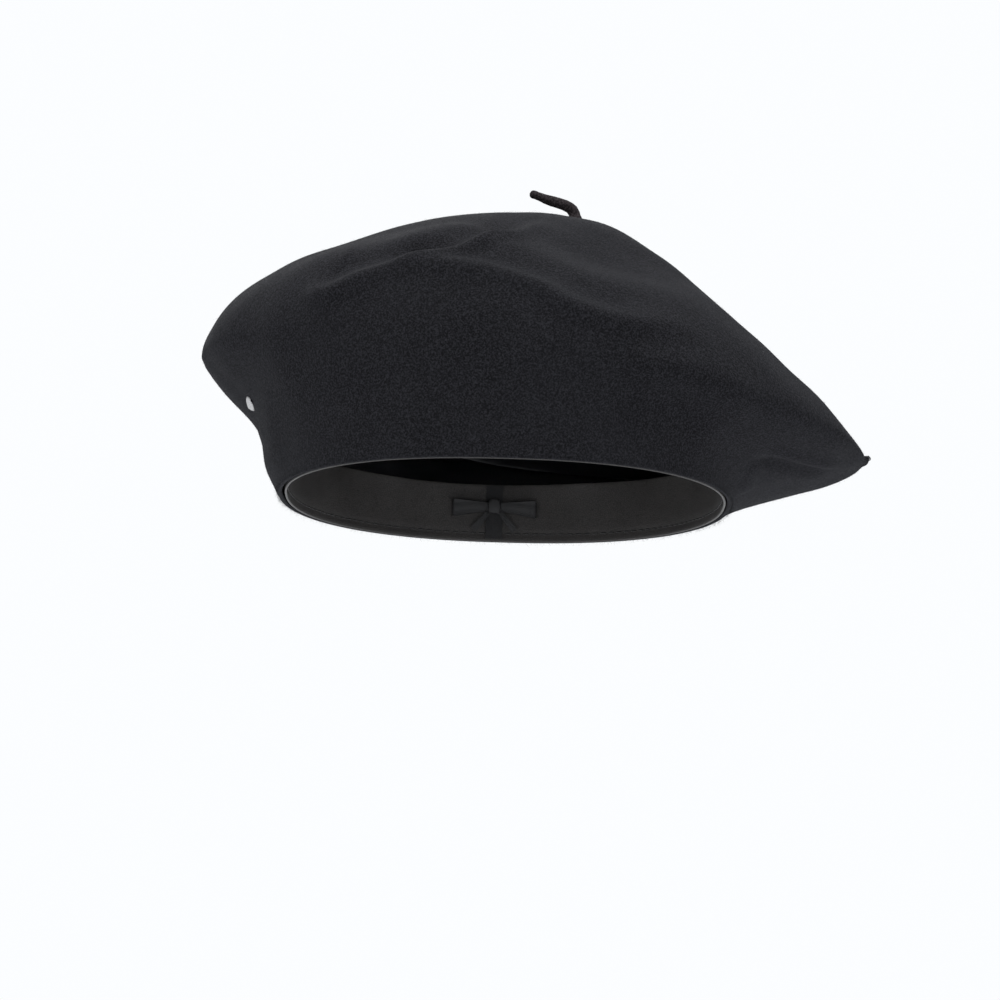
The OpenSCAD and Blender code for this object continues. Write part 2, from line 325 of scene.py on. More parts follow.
def tubes(paths, radii, sides, flatten=1.0):
    """Points and faces of tubes: a ring of `sides` points round each path point, in a frame made from the
    path's direction and one fixed sideways vector, closed by a cap at each end. Paths are count x steps x
    3."""
    paths = np.asarray(paths, float)
    count, steps = paths.shape[:2]
    way = np.gradient(paths, axis=1)
    way /= np.linalg.norm(way, axis=-1, keepdims=True)
    spread = np.abs(way).mean((0, 1))
    ref = np.eye(3)[spread.argmin()]
    one = np.cross(way, ref)
    one /= np.linalg.norm(one, axis=-1, keepdims=True)
    two = np.cross(way, one)
    turn = np.arange(sides) * TURN / sides
    ring = np.cos(turn)[:, None] * one[:, :, None] + flatten * np.sin(turn)[:, None] * two[:, :, None]
    verts = paths[:, :, None] + np.broadcast_to(radii, (count, steps))[..., None, None] * ring
    start = (np.arange(count) * steps * sides)[:, None]
    quads = (start[..., None] + grid_faces(steps, sides)[None]).reshape(-1, 4)
    first, last = np.arange(sides)[::-1] + start, np.arange(sides) + (steps - 1) * sides + start
    return verts.reshape(-1, 3), [quads, first, last]


def thread_radii(steps, radius):
    """A radius that is full along a thread and rounds off at both ends."""
    s = np.linspace(-1, 1, steps)
    return radius * np.sqrt(np.clip(1.02 - s**8, 0, 1))


def grid_faces(rows, columns, close_rows=False, close_columns=True):
    """Quads over a grid of points, wound so that columns x rows points outwards."""
    i = np.arange(rows if close_rows else rows - 1)[:, None]
    j = np.arange(columns if close_columns else columns - 1)[None]
    i2, j2 = (i + 1) % rows, (j + 1) % columns
    return np.stack(np.broadcast_arrays(i * columns + j, i * columns + j2, i2 * columns + j2, i2 * columns + j),
                    -1).reshape(-1, 4)


def finish_piece(obj, material, body, slot, *nodes):
    """Gives a piece its material and its body (None if it bends between two), and hides the nodes it stands
    for. The slot is not used."""
    obj.data.materials.clear()
    obj.data.materials.append(material)
    if body:
        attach(obj, body)
    if nodes:
        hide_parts(*nodes)
    return obj


class Shader:
    """A small builder of node materials: each method adds one node and returns its output."""

    def __init__(self, name, **values):
        self.material = bpy.data.materials.new(name)
        self.material.use_nodes = True
        self.tree = self.material.node_tree
        self.base = self.tree.nodes["Principled BSDF"]
        for key, value in values.items():
            self.base.inputs[key.replace("_", " ").title().replace("Ior", "IOR")].default_value = value

    def node(self, kind, inputs=None, **settings):
        n = self.tree.nodes.new(kind)
        for key, value in settings.items():
            setattr(n, key, value)
        for key, value in (inputs or {}).items():
            if isinstance(value, bpy.types.NodeSocket):
                self.tree.links.new(value, n.inputs[key])
            else:
                n.inputs[key].default_value = value
        return n

    def object_coords(self, scale=(1, 1, 1), rotation=(0, 0, 0)):
        at = self.node("ShaderNodeTexCoord").outputs["Object"]
        return self.node("ShaderNodeMapping", {"Vector": at, "Scale": scale, "Rotation": rotation}).outputs[0]

    def uv_coords(self, scale=(1, 1, 1)):
        at = self.node("ShaderNodeUVMap", uv_map="Weave").outputs[0]
        return self.node("ShaderNodeMapping", {"Vector": at, "Scale": scale}).outputs[0]

    def noise(self, at, scale, detail=2.0, rough=0.5, distortion=0.0):
        return self.node("ShaderNodeTexNoise", {"Vector": at, "Scale": scale, "Detail": detail,
                                                "Roughness": rough, "Distortion": distortion}).outputs["Fac"]

    def ramp(self, fac, low, high, a=(0, 0, 0, 1), b=(1, 1, 1, 1)):
        n = self.node("ShaderNodeValToRGB", {"Fac": fac})
        n.color_ramp.elements[0].position, n.color_ramp.elements[1].position = low, high
        n.color_ramp.elements[0].color, n.color_ramp.elements[1].color = a, b
        return n.outputs["Color"]

    def mix(self, fac, a, b, blend="MIX"):
        n = self.node("ShaderNodeMix", data_type="RGBA", blend_type=blend)
        for socket, value in ((n.inputs["Factor"], fac), (n.inputs[6], a), (n.inputs[7], b)):
            if isinstance(value, bpy.types.NodeSocket):
                self.tree.links.new(value, socket)
            else:
                socket.default_value = value
        return n.outputs[2]

    def bump(self, height, strength, distance, under=None):
        inputs = {"Height": height, "Strength": strength, "Distance": distance}
        if under is not None:
            inputs["Normal"] = under
        return self.node("ShaderNodeBump", inputs).outputs[0]

    def to_base(self, **links):
        for key, value in links.items():
            self.tree.links.new(value, self.base.inputs[key.replace("_", " ").title()])
        return self.material


def rgba(colour, gain=1.0):
    return (colour[0] * gain, colour[1] * gain, colour[2] * gain, 1.0)


def wool_felt(name, colour, bump=0.8):
    """Milled wool: dark, matt and mottled, with matted fibres in its bump and a soft sheen."""
    s = Shader(name, roughness=0.95, specular_ior_level=0.03, sheen_weight=0.025, sheen_roughness=0.6,
               sheen_tint=(0.7, 0.72, 0.78, 1))
    at = s.object_coords()
    speckle = s.noise(at, 1500, 2.0, 0.7)
    mat = s.noise(at, 380, 4.0, 0.6, 1.2)
    cloud = s.noise(at, 28, 3.0, 0.55)
    dark = s.mix(s.ramp(cloud, 0.35, 0.7), rgba(colour, 0.8), rgba(colour, 1.15))
    tone = s.mix(s.ramp(speckle, 0.42, 0.66), dark, rgba(colour, 3.6))
    fine = s.bump(speckle, bump, 0.0004)
    return s.to_base(base_color=tone, normal=s.bump(mat, bump * 0.8, 0.0007, fine))


def leather(name, colour):
    """Fine-grained dark leather: a cell bump with pores, and a gloss broken up by wear."""
    s = Shader(name, specular_ior_level=0.35)
    at = s.object_coords()
    cells = s.node("ShaderNodeTexVoronoi", {"Vector": at, "Scale": 1300}, feature="DISTANCE_TO_EDGE")
    creases = s.ramp(cells.outputs["Distance"], 0.0, 0.18)
    wear = s.noise(at, 60, 4.0, 0.6)
    tone = s.mix(wear, rgba(colour, 0.7), rgba(colour, 1.7))
    tone = s.mix(creases, rgba(colour, 0.5), tone)
    shine = s.node("ShaderNodeMapRange", {"Value": wear, "To Min": 0.42, "To Max": 0.62}).outputs[0]
    soft = s.bump(s.noise(at, 140, 3.0), 0.3, 0.0006)
    return s.to_base(base_color=tone, roughness=shine, normal=s.bump(creases, 0.35, 0.00012, soft))


def woven(name, colour, threads, twill=1.0, rough=0.5, bump=0.5, slant=0.0, spread=1.25):
    """Cloth on the piece's own UV in millimetres: two sets of threads as waves, with the weft's share in
    `twill`, the slant of the rows, and small changes of tone from place to place."""
    s = Shader(name, specular_ior_level=0.35)
    at = s.uv_coords((1, 1, 1))
    warp = s.node("ShaderNodeTexWave", {"Vector": at, "Scale": threads, "Distortion": 0.4, "Detail": 1.0,
                                        "Detail Scale": 2.0}, bands_direction="X").outputs["Fac"]
    turned = s.node("ShaderNodeMapping", {"Vector": at, "Rotation": (0, 0, slant)}).outputs[0]
    weft = s.node("ShaderNodeTexWave", {"Vector": turned, "Scale": threads, "Distortion": 0.4, "Detail": 1.0,
                                        "Detail Scale": 2.0}, bands_direction="Y").outputs["Fac"]
    weave = s.mix(twill, warp, s.mix(0.5, warp, weft))
    cloud = s.noise(s.object_coords(), 90, 3.0, 0.6)
    tone = s.mix(cloud, rgba(colour, 1 / spread), rgba(colour, spread))
    tone = s.mix(weave, rgba(colour, 0.6), tone)
    s.base.inputs["Roughness"].default_value = rough
    return s.to_base(base_color=tone, normal=s.bump(weave, bump, 0.00015))


def plain_fibre(name, colour, rough=0.8):
    """Short dark fibres and threads, with a little change of tone from place to place."""
    s = Shader(name, roughness=rough, specular_ior_level=0.04)
    cloud = s.noise(s.object_coords(), 900, 1.0)
    return s.to_base(base_color=s.mix(cloud, rgba(colour, 0.7), rgba(colour, 1.5)))


def twisted_thread(name, colour):
    """Sewing thread: a fine diagonal wave stands for the twist."""
    s = Shader(name, roughness=0.55, specular_ior_level=0.3)
    twist = s.node("ShaderNodeTexWave", {"Vector": s.object_coords(rotation=(0.6, 0.5, 0.4)), "Scale": 700,
                                         "Distortion": 1.0}, bands_direction="DIAGONAL").outputs["Fac"]
    return s.to_base(base_color=s.mix(twist, rgba(colour, 0.6), rgba(colour, 1.3)),
                     normal=s.bump(twist, 0.5, 0.0001))


# ---------------------------------------------------------------- settings
class FeltSettings(bpy.types.PropertyGroup):
    """Sizes and colours of the felt, its nap and its stalk."""

    around: IntProperty(name="Columns round", description="Divisions of the felt round the beret",
                        default=400, min=96, max=480)
    colour: FloatVectorProperty(name="Felt colour", description="Base colour of the wool felt", subtype="COLOR",
                                default=(0.0056, 0.0056, 0.0065), min=0, max=1)
    nap_count: IntProperty(name="Fibres per patch", description="Loose fibres in each patch of nap",
                           default=40000, min=0, max=49000)
    nap_length: FloatProperty(name="Fibre length", description="Length of a loose fibre", default=1.3 * MM,
                              min=0, unit="LENGTH")


class InsideSettings(bpy.types.PropertyGroup):
    """Sizes and colours of what is sewn inside the felt."""

    band_height: FloatProperty(name="Sweatband height", description="Height of the leather band",
                               default=24 * MM, unit="LENGTH")
    leather: FloatVectorProperty(name="Leather", description="Colour of the sweatband", subtype="COLOR",
                                 default=(0.02, 0.018, 0.017), min=0, max=1)
    satin: FloatVectorProperty(name="Lining", description="Colour of the satin lining", subtype="COLOR",
                               default=(0.014, 0.014, 0.018), min=0, max=1)
    ribbon: FloatVectorProperty(name="Ribbon", description="Colour of the bow and the join's tape",
                                subtype="COLOR", default=(0.012, 0.012, 0.013), min=0, max=1)
    thread: FloatVectorProperty(name="Thread", description="Colour of the sewing thread", subtype="COLOR",
                                default=(0.016, 0.016, 0.016), min=0, max=1)
    label: FloatVectorProperty(name="Label cloth", description="Colour of the labels", subtype="COLOR",
                               default=(0.6, 0.58, 0.53), min=0, max=1)
    mark: FloatVectorProperty(name="Side mark", description="Colour of the embroidered oval", subtype="COLOR",
                              default=(0.42, 0.42, 0.42), min=0, max=1)


class StageSettings(bpy.types.PropertyGroup):
    """Where the camera stands, and what lies round the beret."""

    distance: FloatProperty(name="Camera distance", description="From the camera to the head opening",
                            default=1.5, unit="LENGTH")
    width: FloatProperty(name="Width in view", description="Width seen at the head opening", default=0.385,
                         unit="LENGTH")
    below: FloatProperty(name="Camera below level", description="How far below level the camera looks up from",
                         default=np.radians(9.5), subtype="ANGLE")
    roll: FloatProperty(name="Camera roll", description="Turn of the camera about its own line of sight",
                        default=np.radians(1.6), subtype="ANGLE")
    floor_drop: FloatProperty(name="Floor below hem", description="How far the floor lies below the hem",
                              default=0.32, unit="LENGTH")


# ---------------------------------------------------------------- stage
class BERET_OT_stage(bpy.types.Operator):
    """Adds the camera, the soft lights, the pale floor and the pale surroundings"""

    bl_idname = "beret.stage"
    bl_label = "Stage"

    def execute(self, context):
        g = context.scene.beret_stage
        side, along = np.array((1.0, 0, 0)), np.array((0, np.cos(g.below), np.sin(g.below)))
        up = np.cross(side, along)
        right = np.cos(g.roll) * side + np.sin(g.roll) * up
        above = np.cos(g.roll) * up - np.sin(g.roll) * side
        nudge = (-0.005 * right + 0.003 * above) * g.width
        camera = bpy.data.objects.new("camera", bpy.data.cameras.new("camera"))
        context.scene.collection.objects.link(camera)
        matrix = np.eye(4)
        matrix[:3, :4] = np.stack([right, above, -along, nudge - g.distance * along], 1)
        camera.matrix_world = Matrix(matrix.tolist())
        camera.data.sensor_width = 36.0
        camera.data.lens = 36.0 * g.distance / g.width
        camera.data.clip_end = 50.0
        context.scene.camera = camera

        world = bpy.data.worlds.new("surroundings")
        context.scene.world = world
        world.use_nodes = True
        world.node_tree.nodes["Background"].inputs["Color"].default_value = (0.97, 0.985, 1.0, 1)
        world.node_tree.nodes["Background"].inputs["Strength"].default_value = 1.0
        soft_box("soft_box_above", (0.0, -0.25, 1.5), (0.0, 0.0, 0.05), 1.1, 26.0)
        soft_box("soft_box_back", (-0.5, 1.3, 1.0), (0.0, 0.0, 0.08), 0.8, 9.0)
        floor_half = 6.0
        ring = np.array([(-1, -1), (1, -1), (1, 1), (-1, 1)]) * floor_half / MM
        verts = np.column_stack([ring, np.full(4, -g.floor_drop / MM)])
        floor = add_object("floor", verts, np.array([[0, 1, 2, 3]]), smooth=False)
        s = Shader("floor_paper", roughness=0.8, specular_ior_level=0.2)
        grain = s.noise(s.object_coords(), 40, 2.0)
        paper = s.mix(grain, (0.87, 0.88, 0.9, 1), (0.9, 0.91, 0.93, 1))
        floor.data.materials.append(s.to_base(base_color=paper))
        context.scene.view_settings.view_transform = "Standard"
        return {"FINISHED"}


def soft_box(name, place, aim, size, watts):
    """One square area light at a place, turned to face a point."""
    data = bpy.data.lights.new(name, "AREA")
    data.shape, data.size, data.energy = "SQUARE", size, watts
    light = bpy.data.objects.new(name, data)
    bpy.context.scene.collection.objects.link(light)
    back = np.subtract(place, aim)
    back /= np.linalg.norm(back)
    side = np.cross((0.0, 1.0, 0.001), back)
    side /= np.linalg.norm(side)
    matrix = np.eye(4)
    matrix[:3, :4] = np.stack([side, np.cross(back, side), back, place], 1)
    light.matrix_world = Matrix(matrix.tolist())


# ---------------------------------------------------------------- felt
def felt_rows(lower, upper):
    """Row positions from the hem to the crown, closer at the hem, the disc's edge and the crown."""
    low = 0.5 - 0.5 * np.cos(np.linspace(0, np.pi, lower + 1))
    s = np.linspace(0, 1, upper + 1)[1:]
    return np.concatenate([0.3 * low + 0.7 * np.linspace(0, 1, lower + 1), 1 + s])


class BERET_OT_felt(bpy.types.Operator):
    """Builds the one-piece felt body: its folded outer face, its rolled cut hem and its inner face"""

    bl_idname = "beret.felt"
    bl_label = "Felt body"

    def execute(self, context):
        g = context.scene.beret_felt
        heading = np.arange(g.around) * TURN / g.around
        t = felt_rows(60, 112)
        p, n = felt_grid(heading, t)
        outer = p + np.maximum(0, HEM_ROLL - p[..., 2:] / 2) * UP
        keep = np.r_[0:61:2, 62:173:3, 172]
        inner = (p - FELT_T * n)[keep]
        inner[..., 2] = np.where(t[keep][:, None] < 0.12, np.maximum(inner[..., 2], HEM_ROLL), inner[..., 2])
        turn = np.linspace(0, np.pi, 8)[1:-1, None, None]
        middle, half = (outer[0] + inner[0]) / 2, (outer[0] - inner[0]) / 2
        roll = middle - np.cos(turn) * half - np.sin(turn) * HEM_ROLL * UP
        rows = np.concatenate([inner[::-1], roll, outer])
        felt = add_object("felt_body", rows, grid_faces(*rows.shape[:2], close_rows=True))
        finish_piece(felt, wool_felt("wool_felt", g.colour), HAT, "wool_felt", "felt_shell")
        return {"FINISHED"}


def fibres(name, heading, t, lift, length, down, rng, radius=0.011):
    """Tapered fibres rooted on the felt: three-sided tubes of three rings from root to tip, each bent
    towards its own way along the surface, with `lift` as its mean rise off it and `down` as its pull
    towards the floor."""
    root, n = felt_at(heading, t)
    count = len(root)
    way = rng.normal(size=(count, 3))
    way -= (way * n).sum(-1, keepdims=True) * n
    way /= np.linalg.norm(way, axis=-1, keepdims=True)
    rise = np.clip(rng.normal(lift, 0.2, count), 0.05, 1.2)[:, None]
    way = way * np.cos(rise) + n * np.sin(rise) - down * UP
    way /= np.linalg.norm(way, axis=-1, keepdims=True)
    long = length * rng.uniform(0.4, 1.6, (count, 1))
    bend = rng.normal(size=(count, 3)) * 0.3 - 0.35 * n
    s = np.array((0.0, 0.5, 1.0))[None, :, None]
    path = (root - 0.1 * n)[:, None] + long[:, None] * (s * way[:, None] + s**2 * bend[:, None])
    one = np.cross(way, n)
    one /= np.linalg.norm(one, axis=-1, keepdims=True)
    two = np.cross(way, one)
    turn = np.arange(3) * TURN / 3
    ring = np.cos(turn)[:, None] * one[:, None] + np.sin(turn)[:, None] * two[:, None]
    wide = radius * rng.uniform(0.7, 1.4, (count, 1, 1, 1)) * np.array((1.0, 0.8))[None, :, None, None]
    verts = np.concatenate([(path[:, :2, None] + wide * ring[:, None]).reshape(count, 6, 3), path[:, 2:]], 1)
    base = (np.arange(count) * 7)[:, None, None]
    k = np.arange(3)
    quads = np.stack([k, (k + 1) % 3, 3 + (k + 1) % 3, 3 + k], 1)[None] + base
    tips = np.stack([3 + k, 3 + (k + 1) % 3, np.full(3, 6)], 1)[None] + base
    return add_object(name, verts, [quads.reshape(-1, 4), tips.reshape(-1, 3)])


class BERET_OT_nap(bpy.types.Operator):
    """Grows the felt's loose fibres: patches of short ones all over, and longer ones on the hem"""

    bl_idname = "beret.nap"
    bl_label = "Nap"

    def execute(self, context):
        g = context.scene.beret_felt
        length = g.nap_length / MM
        material = plain_fibre("nap_fibre", np.multiply(g.colour, 2.0))
        cells_h, cells_t = 180, 120
        heading = (np.arange(cells_h) + 0.5) * TURN / cells_h
        t = (np.arange(cells_t) + 0.5) * 2 / cells_t
        p = plain_outside(*np.meshgrid(heading, t))
        du, dv = (np.roll(p, -1, 1) - np.roll(p, 1, 1)) / 2, np.gradient(p, axis=0)
        share = np.linalg.norm(np.cross(du, dv), axis=-1)
        patches = ((1.0, 2.0, 0, TURN), (0.0, 1.0, 0, TURN / 2), (0.0, 1.0, TURN / 2, TURN))
        for number, (t0, t1, h0, h1) in enumerate(patches):
            rng = np.random.default_rng(20 + number)
            inside = (t[:, None] >= t0) & (t[:, None] < t1) & (heading[None] >= h0) & (heading[None] < h1)
            odds = (share * inside).ravel()
            cell = rng.choice(odds.size, g.nap_count // (1 if number == 0 else 2), p=odds / odds.sum())
            h = (cell % cells_h + rng.random(len(cell))) * TURN / cells_h
            s = np.clip((cell // cells_h + rng.random(len(cell))) * 2 / cells_t, 0.004, 1.985)
            nap = fibres("nap_%d" % (number + 1), h, s, 0.35, length, 0.0, rng)
            finish_piece(nap, material, HAT, "wool_felt")
        rng = np.random.default_rng(40)
        count = g.nap_count // 12
        h, s = rng.uniform(0, TURN, count), rng.uniform(0.0, 0.02, count)
        finish_piece(fibres("nap_hem", h, s, 0.5, 1.2 * length, 0.8, rng), material, HAT, "wool_felt")
        return {"FINISHED"}


# The stalk's middle line from inside the crown to its tip, as X, Z and radius, measured from the crown's
# centre.
STALK_LINE = ((-0.4, -2.6, 3.4), (-0.4, -0.6, 3.7), (-0.4, 0.5, 3.2), (-0.5, 1.8, 2.5), (-0.9, 3.3, 2.25),
              (-1.9, 4.8, 2.25), (-3.6, 5.9, 2.25), (-5.8, 6.8, 2.2), (-8.2, 7.6, 2.1), (-11.0, 8.5, 1.95),
              (-13.8, 9.5, 1.8), (-16.4, 10.3, 1.65), (-18.6, 10.9, 1.6))


class BERET_OT_stalk(bpy.types.Operator):
    """Builds the felt stalk: a flared foot on the crown, a bend and a lumpy limb with a round tip"""

    bl_idname = "beret.stalk"
    bl_label = "Stalk"

    def execute(self, context):
        colour = context.scene.beret_felt.colour
        line = smooth_path(STALK_LINE, 9)
        path = np.stack([line[:, 0], 0.4 * np.sin(line[:, 0] * 0.35), line[:, 1]], 1)
        run = run_of(path)
        tip = np.sqrt(np.clip(1 - (1 - np.clip((run[-1] - run) / 1.6, 0, 1)) ** 2, 0.0004, 1))
        radius = line[:, 2] * tip
        tangent = np.gradient(path, axis=0)
        tangent /= np.linalg.norm(tangent, axis=1, keepdims=True)
        side = np.array((0.0, 1.0, 0.0))
        out = np.cross(tangent, side)
        out /= np.linalg.norm(out, axis=1, keepdims=True)
        a = np.arange(40) * TURN / 40
        ring = np.cos(a)[None, :, None] * out[:, None] - np.sin(a)[None, :, None] * side
        p = path[:, None] + radius[:, None, None] * ring
        lumps = waviness(p, 6.0, 8) * 0.1 + waviness(p, 1.8, 9) * 0.05
        p = p + lumps[..., None] * ring * tip[:, None, None] + CROWN
        rows, cols = p.shape[:2]
        faces = [grid_faces(rows, cols), np.arange(cols)[None, ::-1], np.arange(cols)[None] + (rows - 1) * cols]
        stalk = add_object("stalk_felt", p, faces)
        material = wool_felt("stalk_felt", (colour[0] * 2.1, colour[1] * 1.75, colour[2] * 1.6), 0.7)
        finish_piece(stalk, material, None, "stalk_felt", "stalk", "stalk_root")
        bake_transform(stalk)
        knot = add_object("stalk_knot_lump", *knot_lump())
        finish_piece(knot, material, HAT, "stalk_felt", "stalk_knot")
        return {"FINISHED"}


def knot_lump():
    """A flat overhand knot under the crown: one loop of cord as a lumpy, closed ring of tube."""
    s = np.linspace(0, TURN, 48, endpoint=False)
    path = np.stack([1.7 * np.sin(s), 1.7 * np.cos(s), 0.25 * np.sin(2 * s)], 1)
    a = np.arange(16) * TURN / 16
    out = np.stack([np.sin(s), np.cos(s), 0 * s], 1)
    ring = np.cos(a)[None, :, None] * out[:, None] + np.sin(a)[None, :, None] * UP
    p = path[:, None] + (0.95 + 0.12 * np.sin(3 * s))[:, None, None] * ring * (1, 1, 0.55)
    return (p + CROWN - (0, 0, 3.7)).reshape(-1, 3), grid_faces(48, 16, close_rows=True)[:, ::-1]


FLATS = 72


def band_frame(index, along, inwards, height, inset=BAND_OUT + BAND_T):
    """Points against the sweatband's inner face on one of its 72 flats: X along it, Y inwards, Z up."""
    h = np.arange(index, index + 2) % FLATS * TURN / FLATS
    a, b = (hem_reach(h)[:, None] - inset) * pointing(h)
    x = (b - a) / np.linalg.norm(b - a)
    y = np.cross(UP, x)
    along, inwards, height = np.broadcast_arrays(along, inwards, height)
    return (a + b) / 2 + along[..., None] * x + inwards[..., None] * y + height[..., None] * UP


def band_line(heading, inset, height):
    """Points at an inset from the felt's outside, at headings and heights above the hem."""
    heading, inset, height = np.broadcast_arrays(heading, inset, height)
    return (hem_reach(heading) - inset)[..., None] * pointing(heading) + height[..., None] * UP


class BERET_OT_sweatband(bpy.types.Operator):
    """Builds the leather sweatband with a rounded, slightly rippled top, its hem stitches, join tape and
    bow"""

    bl_idname = "beret.sweatband"
    bl_label = "Sweatband and bow"

    def execute(self, context):
        g = context.scene.beret_inside
        high = g.band_height / MM
        h = (np.arange(480) * TURN / 480)[None]
        mid = BAND_OUT + BAND_T / 2
        z = np.linspace(0.45, high - 0.4, 26)
        a = np.linspace(0, np.pi, 7)
        up = np.column_stack([np.full(26, mid - BAND_T / 2), z])
        over = np.column_stack([mid - BAND_T / 2 * np.cos(a), z[-1] + 0.4 * np.sin(a)])[1:-1]
        down = np.column_stack([np.full(26, mid + BAND_T / 2), z[::-1]])
        under = np.column_stack([mid + BAND_T / 2 * np.cos(a), z[0] - 0.45 * np.sin(a)])[1:-1]
        loop = np.concatenate([up, over, down, under])[:, :, None]
        p = band_line(h, loop[:, 0], loop[:, 1])
        free = np.clip((loop[:, 1] - 8) / 16, 0, 1) ** 2
        ripple = (0.35 * np.sin(9 * h + 1) + 0.25 * np.sin(14 * h) + 0.15 * np.sin(31 * h + 2)) * free
        sewn = np.exp(-((loop[:, 1] - 3.2) / 1.1) ** 2) * 0.18 * (loop[:, 0] > mid)
        p = p - ((ripple + 0.35 * free) - sewn)[..., None] * pointing(h)
        p[..., 2] += 0.4 * free * np.sin(5 * h + 0.7)
        band = add_object("sweatband_leather", p, grid_faces(*p.shape[:2], close_rows=True))
        finish_piece(band, leather("sweatband_leather", g.leather), HAT, "sweatband_leather", "sweatband")
        around = float(np.linalg.norm(np.diff(band_line(h[0], mid, 0), axis=0), axis=1).sum()) * MM

        count = 168
        at = (np.arange(count)[:, None] + np.linspace(0.1, 0.86, 7)[None]) * TURN / count
        inset = mid + BAND_T / 2 + 0.24 * np.sin(np.linspace(0, np.pi, 7)) - 0.12
        thread = add_object("hem_thread", *tubes(band_line(at, inset, 3.3), thread_radii(7, 0.25), 6))
        finish_piece(thread, twisted_thread("black_thread", g.thread), HAT, "black_thread", "hem_stitches")

        ribbon = woven("ribbon", g.ribbon, 1.1, 0.25, 0.45, 0.6)
        back = FLATS // 2
        u, v = np.meshgrid(np.linspace(-3.4, 3.4, 15), np.linspace(1, high - 1, 30))
        tape_p = band_frame(back, u, 0.45 + 0.05 * np.cos(u), v)
        verts, faces = sheet_solid(tape_p, band_inwards(back, u.shape), 0.5)
        uv = np.tile(np.dstack([u, v]), (2, 1, 1))
        tape = add_object("join_tape", verts, faces[:, ::-1], uv=uv, sharp=40)
        finish_piece(tape, ribbon, HAT, "ribbon", "sweatband_join")
        self.bow(back, ribbon)
        return {"FINISHED"}

    def bow(self, back, ribbon):
        """Two flattened loops and two tails of ribbon 6 mm wide, and a band of it wrapped round their
        middle."""
        for number, side in enumerate((-1, 1)):
            s = np.linspace(0, 1, 60)
            loop_x = side * (1.5 + 15.5 * np.sin(np.pi * s) ** 0.8)
            loop_y = 2.2 + 1.15 * np.sin(TURN * s) * np.sin(np.pi * s) ** 0.4
            wide = np.linspace(-1, 1, 13)[:, None] * (1.7 + 1.7 * np.sin(np.pi * s) ** 0.7)[None]
            droop = -0.8 * np.sin(np.pi * s)[None] + 0.15 * np.sin(wide * 2)
            loop_y = loop_y + 0.12 * np.cos(wide * 1.7)
            p = band_frame(back, np.broadcast_to(loop_x, wide.shape), loop_y, 14 + droop + wide)
            length = run_of(p[6])
            n = open_normals(p)
            u = np.dstack(np.broadcast_arrays(np.linspace(-3.4, 3.4, 13)[:, None], length[None]))
            verts, faces = sheet_solid(p, n, 0.3)
            name = ("bow_loop_right", "bow_loop_left")[number]
            loop = add_object(name, verts, faces[:, ::-1], uv=np.tile(u, (2, 1, 1)), sharp=40)
            finish_piece(loop, ribbon, HAT, "ribbon", *(["bow_ribbon"] if number == 0 else []))
            s = np.linspace(0, 1, 26)
            wide = np.linspace(-1, 1, 9)[:, None] * (1.7 + 1.3 * s)[None]
            x = side * (1.0 + 7.5 * s)[None] + 0.35 * wide
            y = 1.25 + 0.5 * np.sin(3 * s)[None] + 0.1 * np.cos(wide)
            z = 14 - 9.5 * s[None] ** 0.9 + 0.32 * side * wide
            p = band_frame(back, x, y, z)
            verts, faces = sheet_solid(p, open_normals(p), 0.3)
            length = run_of(p[4])
            u = np.dstack(np.broadcast_arrays(np.linspace(-3.4, 3.4, 9)[:, None], length[None]))
            tail = add_object(("bow_tail_right", "bow_tail_left")[number], verts, faces[:, ::-1],
                              uv=np.tile(u, (2, 1, 1)), sharp=40)
            finish_piece(tail, ribbon, HAT, "ribbon")
        a = np.arange(28) * TURN / 28
        rows = np.linspace(-1, 1, 11)[:, None]
        swell = 1 - 0.25 * rows**2
        x = 2.5 * np.sign(np.cos(a)) * np.abs(np.cos(a)) ** 0.7 * swell
        y = 2.35 + 1.45 * np.sign(np.sin(a)) * np.abs(np.sin(a)) ** 0.7 * swell
        p = band_frame(back, x, y, 14 + 2.7 * rows + 0.1 * np.sin(2 * a))
        grid = np.dstack(np.broadcast_arrays(rows * 2.7, a[None] * 2))
        verts, faces = sheet_solid(p, closed_normals(p), 0.35, close_columns=True)
        knot = add_object("bow_wrap", verts, faces, uv=np.tile(grid, (2, 1, 1)), sharp=40)
        finish_piece(knot, ribbon, HAT, "ribbon", "bow_knot")


def open_normals(p):
    """Unit normals of an open grid of points: columns crossed with rows."""
    n = np.cross(np.gradient(p, axis=1), np.gradient(p, axis=0))
    return unit(n)


def closed_normals(p):
    """Unit normals of a grid of points that closes round its columns."""
    n = np.cross(np.roll(p, -1, 1) - np.roll(p, 1, 1), np.gradient(p, axis=0))
    return unit(n)


def band_inwards(index, shape):
    """The inward direction of one of the sweatband's flats, as an array of normals."""
    n = band_frame(index, 0.0, 1.0, 0.0) - band_frame(index, 0.0, 0.0, 0.0)
    return np.broadcast_to(n, (*shape, 3))


SEAM_ROW = 1.16  # row of the felt under which the lining's side meets its tip


